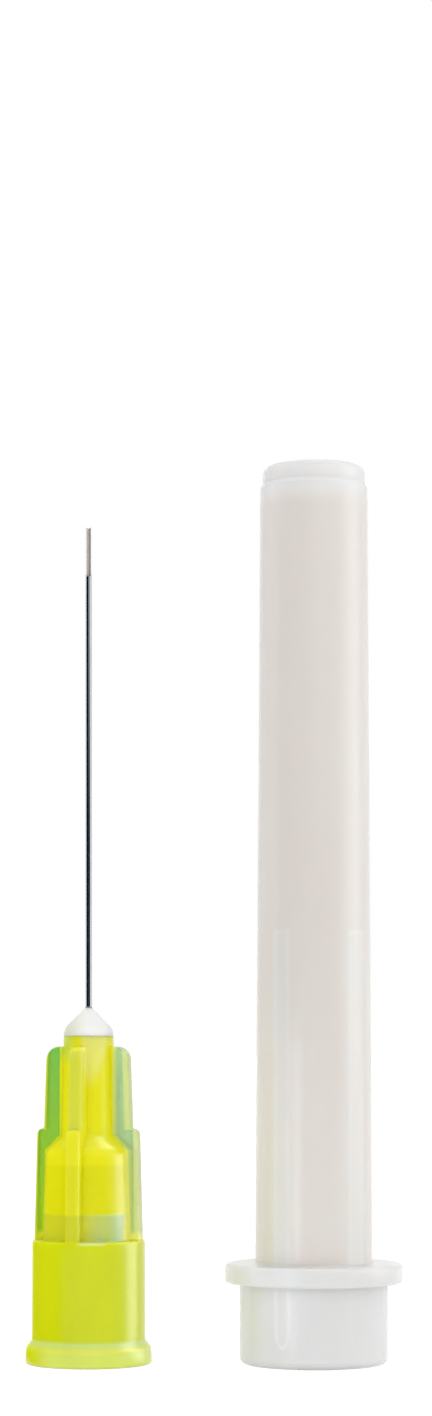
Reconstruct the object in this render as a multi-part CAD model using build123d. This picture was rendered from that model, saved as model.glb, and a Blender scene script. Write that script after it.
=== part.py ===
"""Endodontic irrigation needle and its protective cap, standing side by side on one plane.

The needle stands on the mouth of its Luer socket, its axis is Z and the origin is the centre of
that mouth. The front, -Y, is the side to which the notch in the cannula's tip opens. The cap has
been taken off and stands on its own mouth at +X. All sizes are in millimetres and degrees.
"""
from build123d import *
from math import cos, radians, sin, tan
import os

# Luer-lock rim at the foot of the hub, with its two thread lugs
rim_radius = 3.93
rim_top_radius = 3.85
rim_height = 0.84
rim_rounding = 0.2
rim_edge_rounding = 0.06
lug_height = 1.02
lug_start = 20.5
lug_sweep = 104.5
lug_ramp = 1.8
collar_height = 1.5
collar_rounding = 0.3

# Conical Luer socket, whose diameter narrows by 6 percent of its depth
luer_mouth_radius = 2.15
luer_taper = 0.06
luer_depth = 9.3
luer_lead = 0.15

# Skirt, inner body, cone and neck of the hub, each with its draft
skirt_foot_radius = 3.5
skirt_top_radius = 3.47
skirt_height = 7.65
skirt_rounding = 0.18
body_foot_radius = 2.82
body_top_radius = 2.65
body_height = 13.15
body_rounding = 0.6
neck_foot_radius = 1.7
neck_top_radius = 1.53
neck_rounding = 0.5
cone_rise = 0.95
neck_length = 6.1

# Four fins in two steps
fin_count = 4
fin_thickness = 0.9
fin_turn = 16.0
lower_fin_foot_radius = 3.42
lower_fin_top_radius = 3.23
lower_fin_height = 14.48
lower_fin_rounding = 0.35
fin_step_rounding = 0.1
upper_fin_foot_radius = 2.8
upper_fin_top_radius = 2.62
upper_fin_drop = 0.65
upper_fin_rounding = 0.85

# Flow channel between the socket and the cannula's foot
channel_radius = 1.25
channel_length = 3.0
funnel_rise = 0.9

# Cannula of 27 gauge thin-wall tube
cannula_radius = 0.205
cannula_bore_radius = 0.13
cannula_free_length = 31.4
seat_clearance = 0.02
notch_length = 3.05

# Adhesive in the glue well of the nose and in a dome on it
well_radius = 1.2
well_foot_radius = 0.42
well_depth = 3.7
well_rounding = 0.2
dome_shoulder = 1.0
dome_slope = 45.0

# Protective cap, standing on its mouth
cap_distance = 13.9
cap_height = 55.3
cap_skirt_radius = 4.58
cap_mouth_rounding = 0.45
cap_flange_radius = 5.48
cap_flange_foot = 5.0
cap_flange_thickness = 1.2
cap_flange_rounding = 0.3
cap_flange_foot_rounding = 0.2
cap_tube_root_rounding = 0.15
cap_tube_foot_radius = 3.62
cap_tube_top_radius = 3.31
cap_tube_wall = 0.7
cap_ring_radius = 3.15
cap_ring_height = 1.1
cap_ring_rounding = 0.5
cap_ring_step = 0.25
cap_recess_radius = 2.3
cap_recess_depth = 1.0
cap_recess_rounding = 0.15
cap_end_wall = 1.1

# Bore of the cap's skirt, and the four ribs that grip the hub
cap_mouth_radius = 3.75
cap_mouth_depth = 2.9
cap_bore_radius = 3.55
cap_step_height = 5.9
cap_step_rounding = 0.3
cap_bore_root_rounding = 0.15
cap_bore_end_rounding = 0.6
rib_count = 4
rib_width = 0.95
rib_inner_radius = 2.62
rib_turn = 44.5
rib_foot = 1.24
rib_point = 0.8
rib_top = 26.65
rib_top_rounding = 0.4
rib_side_rounding = 0.24
rib_point_rounding = 0.19

# Heights that follow from the sizes above
collar_top = collar_height + collar_rounding
channel_end = luer_depth + channel_length
cannula_foot = channel_end + funnel_rise
nose_height = body_height + cone_rise + neck_length
upper_fin_top = nose_height - upper_fin_drop
cannula_tip = nose_height + cannula_free_length
well_foot = nose_height - well_depth
ring_foot = cap_height - cap_ring_height
bore_end = cap_height - cap_recess_depth - cap_end_wall


def turned(*corners):
    """Turns a closed outline about Z. Each corner gives its radius, its height and its rounding."""
    points = [(radius, height) for radius, height, _ in corners]
    roundings = [rounding for _, _, rounding in corners]
    outline = FilletPolyline(*points, radius=roundings, close=True)
    return revolve(make_face(Plane.XZ * outline), Axis.Z)


def around(shape, count, turn):
    """Copies a shape that points to the front round Z, the first copy turned to the left."""
    return [Rot(0, 0, 360 * i / count - turn) * shape for i in range(count)]


def rim(height):
    """The rim with its sloping shelf, as high at its edge as the given height."""
    return turned(
        (0, 0, 0),
        (rim_radius, 0, rim_rounding),
        (rim_top_radius, height, rim_edge_rounding),
        (skirt_foot_radius, collar_height, collar_rounding),
        (skirt_foot_radius, collar_top, 0),
        (0, collar_top, 0),
    )


def lugs():
    """Two thread lugs: the rim at its full height, kept only over two sectors with sloping ends."""
    half_width = rim_radius * sin(radians(lug_sweep / 2))
    window = Polyline(
        (half_width, rim_height / 2),
        (half_width, rim_height),
        (half_width - lug_ramp, collar_top),
        (lug_ramp - half_width, collar_top),
        (-half_width, rim_height),
        (-half_width, rim_height / 2),
        close=True,
    )
    sector = extrude(make_face(Plane.XZ * window), 2 * rim_radius)
    middle = lug_start + lug_sweep / 2
    full_rim = rim(lug_height)
    return [full_rim & placed for placed in around(sector, 2, -middle)]


def fin():
    """One fin in both steps, pointing to the front, its foot sunk into the skirt's shoulder."""
    fin_foot = skirt_height - skirt_rounding
    outline = FilletPolyline(
        (0, fin_foot),
        (lower_fin_foot_radius, fin_foot),
        (lower_fin_top_radius, lower_fin_height),
        (upper_fin_foot_radius, lower_fin_height),
        (upper_fin_top_radius, upper_fin_top),
        (0, upper_fin_top),
        radius=[0, 0, lower_fin_rounding, fin_step_rounding, upper_fin_rounding, 0],
        close=True,
    )
    plate = extrude(make_face(Plane.XZ * outline), fin_thickness / 2, both=True)
    return Rot(0, 0, -90) * plate


def glue_well():
    """The well in the nose that the adhesive fills."""
    return turned(
        (0, well_foot, 0),
        (well_foot_radius, well_foot, well_rounding),
        (well_radius, nose_height, 0),
        (0, nose_height, 0),
    )


def hub():
    """The hub, one moulding: rim, lugs, skirt, body, neck and fins, with all its hollows cut."""
    barrel = turned(
        (0, 0, 0),
        (skirt_foot_radius, 0, 0),
        (skirt_foot_radius, collar_top, 0),
        (skirt_top_radius, skirt_height, skirt_rounding),
        (body_foot_radius, skirt_height, 0),
        (body_top_radius, body_height, body_rounding),
        (neck_foot_radius, body_height + cone_rise, neck_rounding),
        (neck_top_radius, nose_height, 0),
        (0, nose_height, 0),
    )
    luer_end_radius = luer_mouth_radius - luer_taper / 2 * luer_depth
    socket = turned(
        (0, 0, 0),
        (luer_mouth_radius + luer_lead, 0, 0),
        (luer_mouth_radius - luer_taper / 2 * luer_lead, luer_lead, 0),
        (luer_end_radius, luer_depth, 0),
        (channel_radius, luer_depth, 0),
        (channel_radius, channel_end, 0),
        (cannula_bore_radius, cannula_foot, 0),
        (0, cannula_foot, 0),
    )
    seat = Pos(0, 0, cannula_foot) * Cylinder(
        cannula_radius + seat_clearance,
        well_foot - cannula_foot,
        align=(Align.CENTER, Align.CENTER, Align.MIN),
    )
    solid = barrel + rim(rim_height) + lugs() + around(fin(), fin_count, fin_turn)
    return solid - socket - seat - glue_well()


def adhesive():
    """The cured adhesive: the filled glue well and a dome with a round shoulder and a straight cone."""
    slope = radians(dome_slope)
    shoulder_radius = neck_top_radius - dome_shoulder * (1 - cos(slope))
    shoulder_height = nose_height + dome_shoulder * sin(slope)
    dome_top = shoulder_height + (shoulder_radius - cannula_radius) * tan(slope)
    base = Vector(neck_top_radius, nose_height)
    half = slope / 2
    bulge = Vector(
        neck_top_radius - dome_shoulder * (1 - cos(half)),
        nose_height + dome_shoulder * sin(half),
    )
    shoulder = Vector(shoulder_radius, shoulder_height)
    outline = Curve() + [
        Line((0, nose_height), base),
        ThreePointArc(base, bulge, shoulder),
        Line(shoulder, (cannula_radius, dome_top)),
        Line((cannula_radius, dome_top), (0, dome_top)),
        Line((0, dome_top), (0, nose_height)),
    ]
    dome = revolve(make_face(Plane.XZ * outline), Axis.Z)
    passage = Pos(0, 0, well_foot) * Cylinder(
        cannula_radius,
        dome_top - well_foot,
        align=(Align.CENTER, Align.CENTER, Align.MIN),
    )
    return dome + glue_well() - passage


def cannula():
    """The steel tube, its tip ground away to the axis on the front, down to a round runout."""
    tube = turned(
        (cannula_bore_radius, cannula_foot, 0),
        (cannula_radius, cannula_foot, 0),
        (cannula_radius, cannula_tip, 0),
        (cannula_bore_radius, cannula_tip, 0),
    )
    runout = cannula_tip - notch_length + cannula_radius
    side = 4 * cannula_radius
    wheel = Pos(0, -cannula_radius, runout) * Rot(0, 90, 0) * Cylinder(cannula_radius, side)
    above = Pos(0, 0, runout) * Box(
        side,
        side,
        2 * notch_length,
        align=(Align.CENTER, Align.MAX, Align.MIN),
    )
    return tube - above - wheel


def rib():
    """One inner rib of the cap, pointing to the front, with a pointed foot and a rounded top."""
    half = rib_width / 2
    outline = FilletPolyline(
        (0, rib_foot),
        (half, rib_foot + rib_point),
        (half, rib_top),
        (-half, rib_top),
        (-half, rib_foot + rib_point),
        radius=[
            rib_point_rounding,
            rib_side_rounding,
            rib_top_rounding,
            rib_top_rounding,
            rib_side_rounding,
        ],
        close=True,
    )
    reach = (cap_mouth_radius + cap_skirt_radius) / 2 - rib_inner_radius
    bar = extrude(make_face(Plane.XZ * outline), reach)
    return Pos(0, -rib_inner_radius, 0) * bar


def cap():
    """The cap, one moulding: skirt, flange, tapered tube, end ring and the four ribs inside."""
    flange_top = cap_flange_foot + cap_flange_thickness
    shell = turned(
        (0, 0, 0),
        (cap_skirt_radius, 0, cap_mouth_rounding),
        (cap_skirt_radius, cap_flange_foot, 0),
        (cap_flange_radius, cap_flange_foot, cap_flange_foot_rounding),
        (cap_flange_radius, flange_top, cap_flange_rounding),
        (cap_tube_foot_radius, flange_top, cap_tube_root_rounding),
        (cap_tube_top_radius, ring_foot - cap_ring_step, 0),
        (cap_ring_radius, ring_foot, 0),
        (cap_ring_radius, cap_height, cap_ring_rounding),
        (0, cap_height, 0),
    )
    bore = turned(
        (0, 0, 0),
        (cap_mouth_radius, 0, 0),
        (cap_mouth_radius, cap_mouth_depth, 0),
        (cap_bore_radius, cap_mouth_depth, 0),
        (cap_bore_radius, cap_step_height, cap_step_rounding),
        (cap_tube_foot_radius - cap_tube_wall, cap_step_height, cap_bore_root_rounding),
        (cap_tube_top_radius - cap_tube_wall, bore_end, cap_bore_end_rounding),
        (0, bore_end, 0),
    )
    recess = turned(
        (0, cap_height - cap_recess_depth, 0),
        (cap_recess_radius, cap_height - cap_recess_depth, cap_recess_rounding),
        (cap_recess_radius, cap_height, 0),
        (0, cap_height, 0),
    )
    ribs = [bar & shell for bar in around(rib(), rib_count, rib_turn)]
    return Pos(cap_distance, 0, 0) * (shell - bore - recess + ribs)


os.makedirs("parts", exist_ok=True)
for name, piece in {"hub": hub(), "cannula": cannula(), "adhesive": adhesive(), "cap": cap()}.items():
    export_step(piece, f"parts/{name}.step")
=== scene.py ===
"""Looks of an endodontic irrigation needle and of its protective cap, which stands beside it.

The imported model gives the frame: where each piece lies and how large it is. This file adds finely
meshed surfaces for the hub, the steel cannula, the adhesive and the cap, their finishes, and a
white studio with a camera. Lengths are in metres, and a length written as N * MM is N millimetres.
"""
from collections import namedtuple

import bmesh
import bpy
import numpy as np
from bpy.props import FloatProperty, FloatVectorProperty, IntProperty, PointerProperty
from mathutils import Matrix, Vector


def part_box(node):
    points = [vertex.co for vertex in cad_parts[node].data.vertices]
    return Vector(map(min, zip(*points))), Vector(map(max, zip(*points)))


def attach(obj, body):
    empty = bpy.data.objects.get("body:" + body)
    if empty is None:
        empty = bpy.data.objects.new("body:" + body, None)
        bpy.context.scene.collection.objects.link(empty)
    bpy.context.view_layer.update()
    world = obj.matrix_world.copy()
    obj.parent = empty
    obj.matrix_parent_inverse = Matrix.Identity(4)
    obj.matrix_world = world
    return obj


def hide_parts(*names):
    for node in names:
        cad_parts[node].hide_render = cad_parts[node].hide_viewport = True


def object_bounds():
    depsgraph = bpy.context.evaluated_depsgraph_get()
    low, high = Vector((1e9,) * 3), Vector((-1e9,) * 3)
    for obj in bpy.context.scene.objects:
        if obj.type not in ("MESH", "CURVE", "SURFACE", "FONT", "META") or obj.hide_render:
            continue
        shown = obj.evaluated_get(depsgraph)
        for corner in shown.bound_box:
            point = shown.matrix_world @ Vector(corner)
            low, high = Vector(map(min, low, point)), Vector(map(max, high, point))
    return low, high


bl_info = {
    "name": "Irrigation needle looks",
    "version": (1, 0, 0),
    "blender": (4, 5, 0),
    "location": "3D View > Sidebar > Needle",
    "description": "Surfaces, finishes and studio for an endodontic irrigation needle and its cap",
    "category": "Object",
}

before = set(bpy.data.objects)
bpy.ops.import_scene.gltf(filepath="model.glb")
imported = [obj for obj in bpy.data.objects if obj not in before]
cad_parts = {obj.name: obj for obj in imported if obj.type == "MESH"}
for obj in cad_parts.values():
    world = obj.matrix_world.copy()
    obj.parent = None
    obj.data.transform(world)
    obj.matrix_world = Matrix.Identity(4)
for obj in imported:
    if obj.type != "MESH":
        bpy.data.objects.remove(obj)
CAD_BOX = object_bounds()
HUB_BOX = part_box("hub")
CANNULA_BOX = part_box("cannula")
ADHESIVE_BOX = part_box("adhesive")
CAP_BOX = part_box("cap")

MM = 0.001
MERGE = 2e-7
SHARP_ANGLE = np.radians(38)
ARC_STEPS = 7
TUBE_ROWS = 12
NOTCH_ROWS = 10
RUNOUT_ROWS = 6
BAND_EDGE = 0.005

# A place on a piece, as sockets: the vector from its axis, and that vector's parts
Spot = namedtuple("Spot", "vector x y height")


def half_width(box):
    """Half the size of a box along X: the radius of a turned piece."""
    return (box[1].x - box[0].x) / 2


def length(name, millimetres, description):
    """A length property, given in millimetres."""
    return FloatProperty(
        name=name,
        description=description,
        default=millimetres * MM,
        unit="LENGTH",
        precision=5,
    )


def turn(name, degrees, description):
    """An angle property, given in degrees."""
    return FloatProperty(name=name, description=description, default=np.radians(degrees), subtype="ANGLE")


def power(name, description):
    """A lamp's power property."""
    return FloatProperty(name=name, description=description, default=0.06, unit="POWER")


def linear(red, green, blue):
    """The linear colour of a display colour given from 0 to 255: the inverse of the display's curve."""
    share = np.array([red, green, blue]) / 255
    curve = np.where(share <= 0.04045, share / 12.92, ((share + 0.055) / 1.055) ** 2.4)
    return (*curve.tolist(), 1.0)


def colour(name, display, description):
    """A colour property, given as a display colour from 0 to 255."""
    return FloatVectorProperty(
        name=name,
        description=description,
        default=linear(*display),
        size=4,
        subtype="COLOR",
        min=0.0,
        max=1.0,
    )


# Sizes and colours that a user would change


class HubSettings(bpy.types.PropertyGroup):
    columns: IntProperty(name="Columns", description="Points round the hub", default=288, min=48)
    rim_radius: length("Rim radius", 3.93, "Radius of the rim's foot before its edge is rounded")
    rim_top_radius: length("Rim top radius", 3.85, "Radius of the rim's upper edge")
    rim_height: length("Rim height", 0.84, "Height of the rim's side between the lugs")
    lug_height: length("Lug height", 1.02, "Height of the rim's side over the lugs")
    lug_middle: turn("Lug direction", -17.25, "Direction of the first lug's middle from +X")
    lug_half_width: length("Lug half width", 3.11, "Half the straight width of a lug")
    lug_ramp: length("Lug ramp", 0.7, "Width over which a lug rises from the rim")
    collar_height: length("Collar height", 1.5, "Height at which the rim's shelf meets the skirt")
    skirt_foot_radius: length("Skirt foot radius", 3.5, "Radius of the skirt at the rim")
    skirt_top_radius: length("Skirt top radius", 3.47, "Radius of the skirt at its shoulder")
    skirt_height: length("Skirt height", 7.65, "Height of the shoulder")
    body_foot_radius: length("Body foot radius", 2.82, "Radius of the body on the shoulder")
    body_top_radius: length("Body top radius", 2.65, "Radius of the body at the cone")
    body_height: length("Body height", 13.15, "Height at which the cone starts")
    cone_rise: length("Cone rise", 0.95, "Height of the cone")
    neck_foot_radius: length("Neck foot radius", 1.7, "Radius of the neck on the cone")
    socket_radius: length("Socket radius", 2.15, "Radius of the Luer socket at its mouth")
    socket_end_radius: length("Socket end radius", 1.871, "Radius of the Luer socket at its end")
    socket_depth: length("Socket depth", 9.3, "Depth of the Luer socket")
    channel_radius: length("Channel radius", 1.25, "Radius of the flow channel")
    channel_end: length("Channel end", 12.3, "Height at which the channel narrows")
    fin_thickness: length("Fin thickness", 0.9, "Thickness of a fin")
    fin_edge: length("Fin edge", 0.16, "Rounding of a fin's long edges")
    fin_turn: turn("Fin direction", -106.0, "Direction of the front fin from +X")
    lower_fin_foot: length("Lower fin foot", 3.42, "Reach of the lower fin on the shoulder")
    lower_fin_top: length("Lower fin top", 3.23, "Reach of the lower fin at its step")
    lower_fin_height: length("Lower fin height", 14.48, "Height of the step")
    lower_fin_corner: length("Lower fin corner", 0.35, "Rounding of the step's outer corner")
    upper_fin_foot: length("Upper fin foot", 2.8, "Reach of the upper fin on the step")
    upper_fin_top: length("Upper fin top", 2.62, "Reach of the upper fin at its top")
    upper_fin_drop: length("Upper fin drop", 0.65, "Height of the nose above the upper fin")
    upper_fin_corner: length("Upper fin corner", 0.85, "Rounding of the upper fin's outer corner")
    neck_colour: colour("Neck colour", (244, 240, 20), "The neck and the body's upper end")
    # Partly painted light: the white glue well seen through the neck, brightened as if lit from +X
    nose_colour: colour("Nose colour", (255, 245, 130), "The neck over the white glue well")
    body_colour: colour("Body colour", (236, 233, 8), "The body between band and upper end")
    # Painted light: the seam and the fin's root on the +X side, lit by light through the fin
    root_light_colour: colour("Glow colour", (255, 255, 125), "The seam between body and fin on the +X side")
    # Painted shade: the neck's upper end on the -X side, away from the light
    neck_shade_colour: colour("Dim colour", (200, 224, 76), "The neck's upper end on the -X side")
    band_colour: colour("Band colour", (250, 255, 50), "The clear band above the shoulder")
    # Painted light: the clear band's palest colour, on its lit +X side
    lit_pane_colour: colour("Pane colour", (216, 246, 184), "The clear band's palest part, on the +X side")
    skirt_colour: colour("Skirt colour", (221, 229, 8), "The skirt")
    rim_colour: colour("Rim colour", (228, 240, 118), "The rim and its lugs")
    # Painted light: pale lines on the rim's upper edge and on its shelf, which face up
    shelf_highlight_colour: colour("Shelf colour", (218, 236, 136), "The rim's upper edge and its shelf")
    seam_colour: colour("Seam colour", (234, 238, 100), "The line between the rim's edge and its shelf")
    # Painted shade: the -X side fin, away from the light, in a deeper see-through green
    shaded_fin_colour: colour("Deep fin colour", (136, 212, 100), "The top of the fin on the -X side")
    shaded_fin_foot_colour: colour("Deep foot colour", (180, 227, 18), "The foot of the fin on the -X side")
    shaded_fin_edge_colour: colour("Deep edge colour", (214, 228, 70), "The outer edge of the fin on the -X side")
    # Painted light: the +X side fin, towards the light, in a paler see-through green
    lit_fin_colour: colour("Pale fin colour", (204, 240, 190), "The top of the fin on the +X side")
    lit_fin_foot_colour: colour("Pale foot colour", (184, 212, 150), "The foot of the fin on the +X side")
    lit_fin_edge_colour: colour("Pale edge colour", (226, 238, 165), "The outer edge of the fin on the +X side")
    # Painted light: the lighter outer edges of the front and back fins, where light bends through them
    front_fin_edge_light_colour: colour("Fin front colour", (210, 220, 100), "The outer edges of the other two fins")


class CannulaSettings(bpy.types.PropertyGroup):
    columns: IntProperty(name="Columns", description="Points round half the tube", default=48, min=12)
    bore_radius: length("Bore radius", 0.13, "Radius of the tube's bore")
    notch_length: length("Notch length", 3.05, "Length of the notch in the tip")
    tip_dip: length("Tip dip", 0.06, "How far the middle of the tip's end lies below its sides")
    steel_colour: colour("Steel colour", (205, 208, 214), "The drawn steel")
    # Painted light: the trough's -X side, which faces the light
    lit_trough_colour: colour("Notch colour", (224, 214, 208), "The inside of the notch on its -X side")
    # Painted shade: the trough's +X side
    shade_colour: colour("Shade colour", (172, 159, 154), "The inside of the notch on its +X side")
    # Painted highlight: the ground rims are painted matt white in place of their glint
    rim_colour: colour("Rim colour", (250, 250, 250), "The ground rims of the notch")


class AdhesiveSettings(bpy.types.PropertyGroup):
    columns: IntProperty(name="Columns", description="Points round the drop", default=160, min=48)
    well_radius: length("Well radius", 1.2, "Radius of the glue well at the nose")
    well_foot_radius: length("Well foot radius", 0.42, "Radius of the glue well at its foot")
    shoulder_radius: length("Shoulder radius", 1.0, "Radius of the dome's round shoulder")
    meniscus: length("Meniscus", 0.06, "Height of the wetted rise at the tube")
    drop_colour: colour("Drop colour", (254, 253, 248), "The cured adhesive")
    # Painted shade: the drop's +X edge, darker and bluish so it keeps its outline in the light
    edge_colour: colour("Edge colour", (222, 230, 230), "The cured adhesive's +X side")
    # Painted shade and bounced light: the drop's -X side, darkened and tinted by the hub's yellow
    shaded_side_colour: colour("Side colour", (216, 222, 200), "The cured adhesive's -X side, over the tinted hub")


class CapSettings(bpy.types.PropertyGroup):
    columns: IntProperty(name="Columns", description="Points round the cap", default=256, min=48)
    skirt_radius: length("Skirt radius", 4.58, "Radius of the cap's skirt")
    mouth_corner: length("Mouth corner", 0.45, "Rounding of the skirt's foot")
    flange_foot: length("Flange foot", 5.0, "Height of the flange's underside")
    flange_top: length("Flange top", 6.2, "Height of the flange's upper side")
    flange_corner: length("Flange corner", 0.3, "Rounding of the flange's edges")
    tube_foot_radius: length("Tube foot radius", 3.62, "Radius of the tube on the flange")
    tube_top_radius: length("Tube top radius", 3.31, "Radius of the tube under the end ring")
    tube_wall: length("Tube wall", 0.7, "Thickness of the tube's wall")
    ring_radius: length("Ring radius", 3.15, "Radius of the end ring")
    ring_height: length("Ring height", 1.1, "Height of the end ring")
    ring_corner: length("Ring corner", 0.5, "Rounding of the end ring's edge")
    ring_step: length("Ring step", 0.25, "Height of the slope between tube and end ring")
    recess_radius: length("Recess radius", 2.3, "Radius of the recess in the end")
    recess_depth: length("Recess depth", 1.0, "Depth of the recess in the end")
    end_wall: length("End wall", 1.1, "Thickness of the closed end")
    mouth_radius: length("Mouth radius", 3.75, "Radius of the bore at the mouth")
    mouth_depth: length("Mouth depth", 2.9, "Depth of the mouth")
    bore_radius: length("Bore radius", 3.55, "Radius of the bore above the mouth")
    step_height: length("Step height", 5.9, "Height at which the bore narrows to the tube's")
    rib_turn: turn("Rib direction", -134.5, "Direction of the first inner rib from +X")
    rib_width: length("Rib width", 0.95, "Width of an inner rib")
    rib_radius: length("Rib radius", 2.62, "Distance of a rib's inner face from the axis")
    rib_foot: length("Rib foot", 1.24, "Height of a rib's pointed foot")
    rib_point: length("Rib point", 0.8, "Height of the pointed foot's slopes")
    rib_top: length("Rib top", 26.65, "Height of a rib's top")
    rib_corner: length("Rib corner", 0.4, "Rounding of a rib's top")
    outline_place: length("Outline place", 2.27, "Distance of a rib's outline beside the middle")
    outline_shift: length("Outline shift", 0.22, "Shift of the outlines towards +X")
    tube_colour: colour("Tube colour", (248, 240, 235), "The tube between the ribs")
    skirt_colour: colour("Skirt colour", (252, 251, 250), "The skirt, the flange and the closed end")
    # Partly painted light: the faint fill of a rib behind the wall and the light line of its outline
    rib_colour: colour("Rib colour", (255, 252, 250), "The outline of a rib behind the wall")


class StudioSettings(bpy.types.PropertyGroup):
    camera_distance: length("Camera distance", 195.0, "Distance of the camera from the needle's axis")
    camera_side: length("Camera place", 7.86, "Place of the camera along X")
    camera_height: length("Camera height", 20.2, "Height of the camera, which looks level")
    view_height: length("View height", 87.4, "Height of what the camera sees at the needle's axis")
    view_rise: FloatProperty(
        name="View rise",
        description="Rise of the picture's middle over the camera, as a share of the picture's height",
        default=0.2316,
    )
    key_power: power("Key power", "Power of the key light")
    fill_power: power("Fill power", "Power of the fill light")
    sky_strength: FloatProperty(name="Sky", description="Strength of the surroundings", default=0.92)


# Shapes: outlines, turned bodies and plates


def unit(vectors):
    """Vectors of length 1 along the second axis: each one divided by its own length."""
    return vectors / np.maximum(np.linalg.norm(vectors, axis=1, keepdims=True), 1e-12)


def outline(corners, gap, closed=True):
    """Points of an outline with round corners, as an array of points, 2 coordinates, columns.

    Each corner is (across, up, rounding), and each of these is a number or one value a column. A
    corner of rounding q and half angle h is left at the distance q / tan(h) from it. The arc between
    the two leaving points is turned from one to the other about its own centre, which lies at
    q / sin(h) on the corner's bisector. Straight stretches are divided evenly, in steps up to gap.
    """
    columns = max(np.size(value) for corner in corners for value in corner)
    table = np.array([[np.broadcast_to(value, columns) for value in corner] for corner in corners])
    spot = table[:, :2]
    rounding = table[:, 2]
    before = unit(np.roll(spot, 1, axis=0) - spot)
    after = unit(np.roll(spot, -1, axis=0) - spot)
    half = np.arccos(np.clip((before * after).sum(axis=1), -1, 1)) / 2
    reach = (rounding / np.tan(np.maximum(half, 1e-6)))[:, None]
    centre = spot + unit(before + after) * (rounding / np.sin(np.maximum(half, 1e-6)))[:, None]
    enter = spot + before * reach
    leave = spot + after * reach
    points = []
    for here in range(len(corners)):
        if rounding[here].any():
            sweep = np.pi - 2 * half[here]
            share = np.linspace(0, 1, ARC_STEPS + 1)[:, None, None]
            first = np.sin((1 - share) * sweep) * (enter[here] - centre[here])
            last = np.sin(share * sweep) * (leave[here] - centre[here])
            points.append(centre[here] + (first + last) / np.sin(sweep))
        else:
            points.append(spot[here][None])
        following = (here + 1) % len(corners)
        if closed or following:
            line = enter[following] - leave[here]
            steps = int(np.ceil(np.linalg.norm(line, axis=0).mean() / gap))
            share = (np.arange(1, steps) / max(steps, 1))[:, None, None]
            points.append(leave[here] + line * share)
    return np.concatenate(points)


def grid_faces(rows, columns, wrap_rows, wrap_columns):
    """Quads of a grid whose points are numbered row by row; a wrapped side joins last to first."""
    row = np.arange(rows if wrap_rows else rows - 1)[:, None]
    column = np.arange(columns if wrap_columns else columns - 1)[None]
    next_row = (row + 1) % rows
    next_column = (column + 1) % columns
    corners = [
        row * columns + column,
        row * columns + next_column,
        next_row * columns + next_column,
        next_row * columns + column,
    ]
    return np.stack(corners, axis=-1).reshape(-1, 4)


def surface(name, patches, ends=()):
    """A closed piece from patches (points, wrap rows, wrap columns), with doubles merged.

    ends lists whole rings of points, numbered over all patches, that get one flat face each.
    """
    points = []
    faces = []
    count = 0
    for grid, wrap_rows, wrap_columns in patches:
        rows, columns = grid.shape[:2]
        faces += (grid_faces(rows, columns, wrap_rows, wrap_columns) + count).tolist()
        points.append(grid.reshape(-1, 3))
        count += rows * columns
    mesh = bpy.data.meshes.new(name)
    mesh.from_pydata(np.concatenate(points).tolist(), [], faces + [list(end) for end in ends])
    form = bmesh.new()
    form.from_mesh(mesh)
    bmesh.ops.remove_doubles(form, verts=form.verts, dist=MERGE)
    bmesh.ops.recalc_face_normals(form, faces=form.faces)
    form.to_mesh(mesh)
    form.free()
    piece = bpy.data.objects.new(name, mesh)
    bpy.context.scene.collection.objects.link(piece)
    return piece


def turned(name, corners, columns, gap, closed=True, centre=(0.0, 0.0)):
    """A turned piece: x = radius cos(angle), y = radius sin(angle), z = height, over an outline."""
    angle = np.linspace(0, 2 * np.pi, columns, endpoint=False)
    radius, height = np.moveaxis(outline(corners, gap, closed), 1, 0)
    x = centre[0] + radius * np.cos(angle)
    y = centre[1] + radius * np.sin(angle)
    z = np.broadcast_to(height, x.shape)
    return surface(name, [(np.stack([x, y, z], axis=-1), closed, True)])


def plates(name, across, corners, turns, gap, centre=(0.0, 0.0)):
    """Flat plates that point away from the axis, one for each direction in turns.

    across gives the places of the columns through the plate's thickness, and corners its outline as
    (radius, height, rounding), with one value a column where the plate's edges are rounded. A point
    lies at radius along the direction and at across square to it.
    """
    radius, height = np.moveaxis(outline(corners, gap), 1, 0)
    side = np.broadcast_to(across, radius.shape)
    rows, columns = radius.shape
    patches = []
    ends = []
    for number, direction in enumerate(turns):
        x = centre[0] + radius * np.cos(direction) - side * np.sin(direction)
        y = centre[1] + radius * np.sin(direction) + side * np.cos(direction)
        patches.append((np.stack([x, y, height + 0 * x], axis=-1), True, False))
        first = number * rows * columns + np.arange(rows) * columns
        ends += [first.tolist(), (first + columns - 1).tolist()]
    return surface(name, patches, ends)


def rounded_across(half, edge):
    """Places through a plate's thickness, and how far its outline draws in there to round its edges.

    Along the quarter circle with angle a, a column lies edge (1 - cos a) inside the plate's face and
    its outline is drawn in by edge (1 - sin a).
    """
    angle = np.linspace(0, np.pi / 2, ARC_STEPS + 1)
    place = half - edge * (1 - np.cos(angle))
    drawn = edge * (1 - np.sin(angle))
    return np.concatenate([-place, place[::-1]]), np.concatenate([drawn, drawn[::-1]])


def united(piece, addition):
    """Joins an addition to a piece as one closed skin, and drops the addition's own object."""
    union = piece.modifiers.new("union", "BOOLEAN")
    union.operation = "UNION"
    union.solver = "EXACT"
    union.object = addition
    graph = bpy.context.evaluated_depsgraph_get()
    joined = bpy.data.meshes.new_from_object(piece.evaluated_get(graph))
    piece.modifiers.clear()
    piece.data = joined
    bpy.data.objects.remove(addition)
    return piece


def dressed(piece, node, body, material):
    """Shades a finished piece, gives it its finish and sets it in the place of its node."""
    piece.data.shade_smooth()
    piece.data.set_sharp_from_angle(angle=SHARP_ANGLE)
    piece.data.materials.clear()
    piece.data.materials.append(material)
    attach(piece, body)
    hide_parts(node)


# Finishes


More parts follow.
